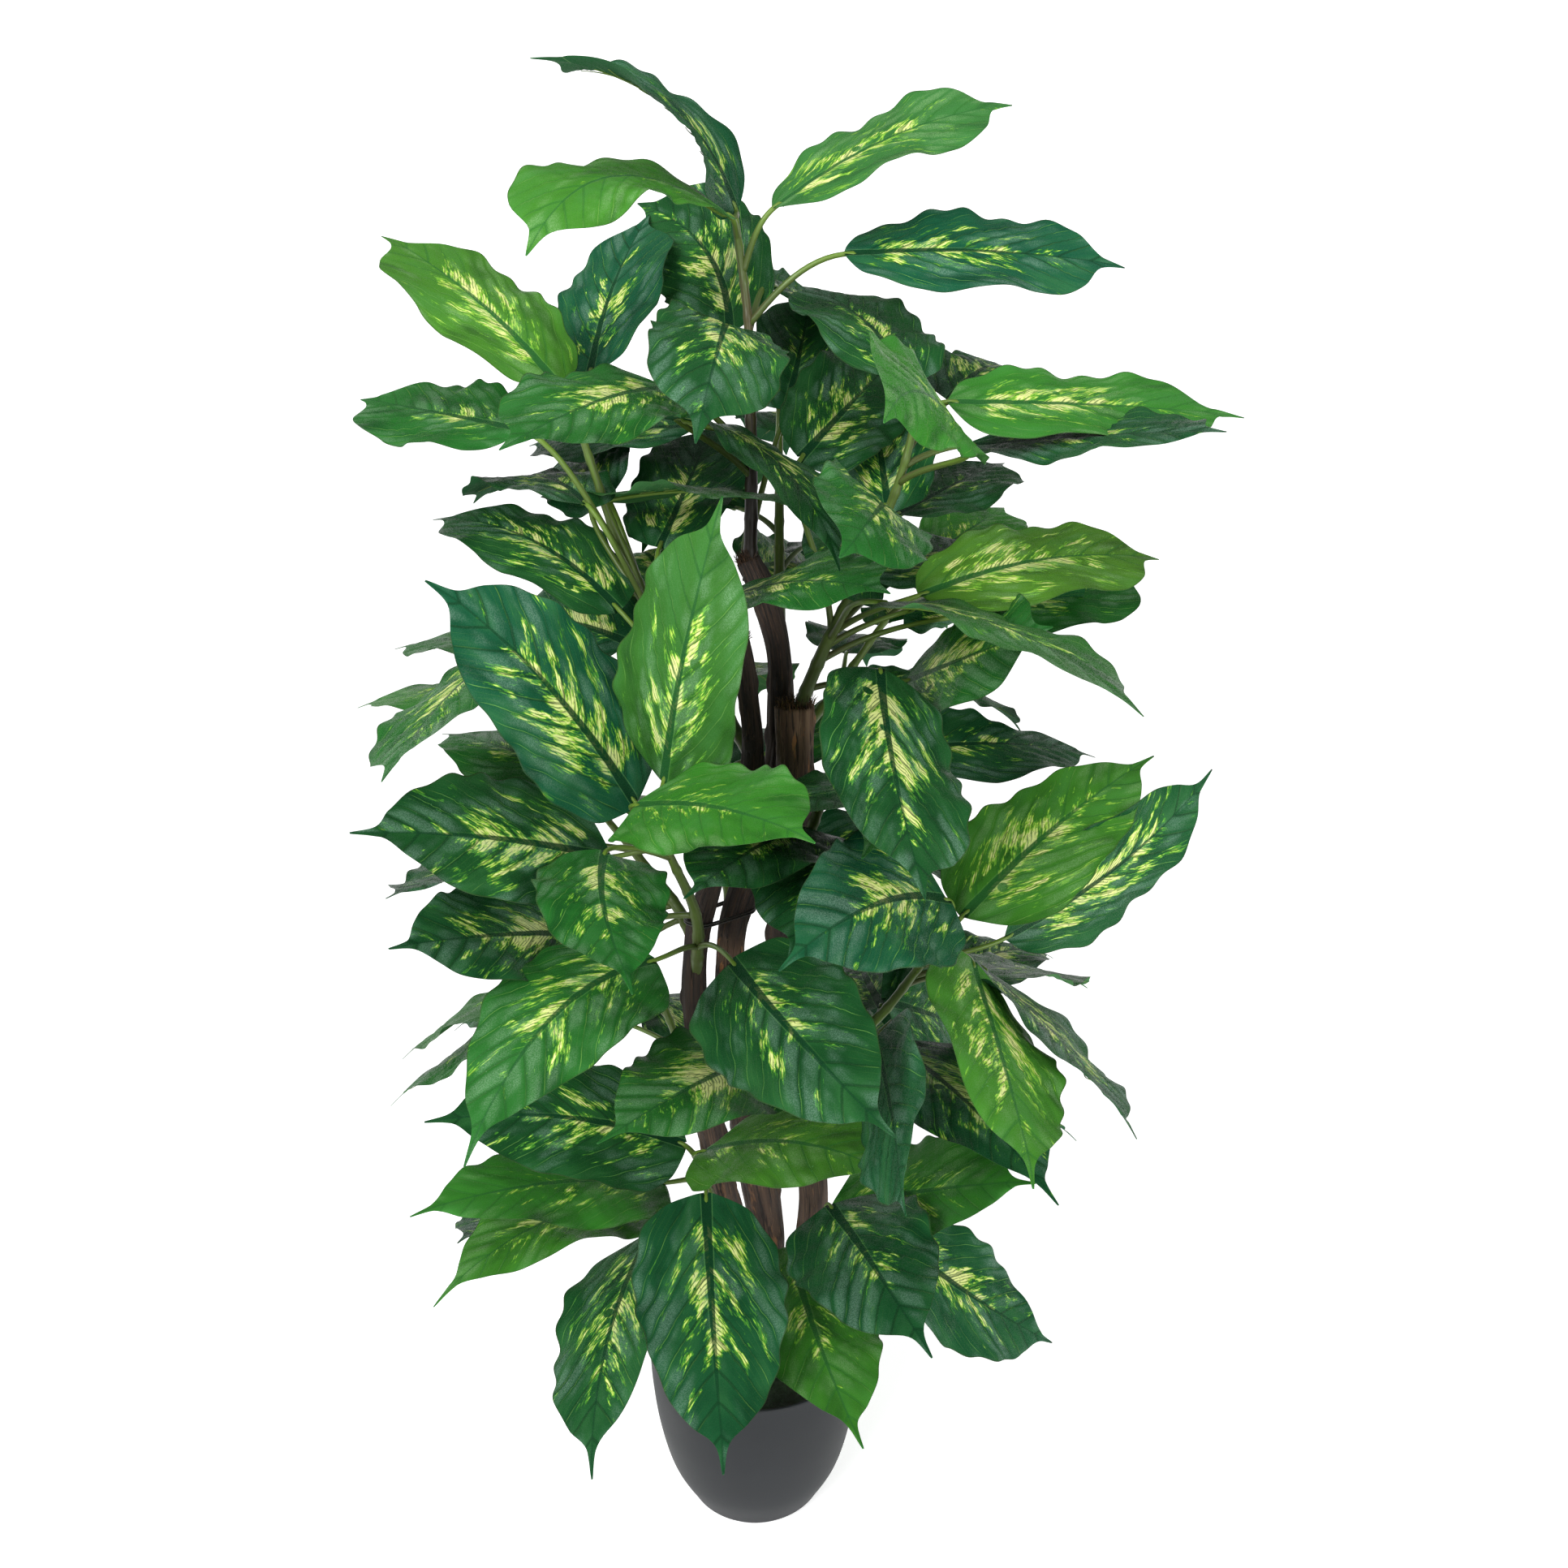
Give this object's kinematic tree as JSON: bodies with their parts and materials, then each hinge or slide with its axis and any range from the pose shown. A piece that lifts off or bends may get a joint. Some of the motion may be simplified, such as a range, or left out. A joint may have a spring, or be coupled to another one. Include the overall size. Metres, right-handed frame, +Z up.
{
  "type": "potted dieffenbachia",
  "caption": "Tall potted dieffenbachia with woody trunks and large variegated leaves in a round tapered pot.",
  "frame": {"origin": "centre of the flat underside of the pot", "axes": "+Z up along the pot's axis, -Y towards the front of the plant, +X to the right as seen from the front"},
  "size_m": [0.7177, 0.6975, 1.1873],
  "materials": {
    "pot": "matte dark grey moulded plastic",
    "filler": "dark cast filling, matte",
    "trunk_wood": "rough brown stripped wood",
    "coir": "brown coir fibre",
    "wire": "dark coated wire",
    "foliage": "satin printed leaf cloth, dark green with cream and yellow-green streaks"
  },
  "bodies": {
    "root": {"filler": "filler", "pot": "pot", "spray_back_low_left": "foliage", "spray_back_low_right": "foliage", "spray_back_middle": "foliage", "spray_back_top": "foliage", "spray_back_upper_left": "foliage", "spray_back_upper_right": "foliage", "spray_centre": "foliage", "spray_crown": "foliage", "spray_far_left": "foliage", "spray_front_left": "foliage", "spray_left": "foliage", "spray_low_left": "foliage", "spray_low_right": "foliage", "spray_middle_right": "foliage", "spray_right": "foliage", "tie_wire": "wire", "trunk_left": "trunk_wood", "trunk_right": "trunk_wood", "trunk_tall": "trunk_wood", "tuft_left": "coir", "tuft_right": "coir", "tuft_tall": "coir"}
  },
  "joints": []
}
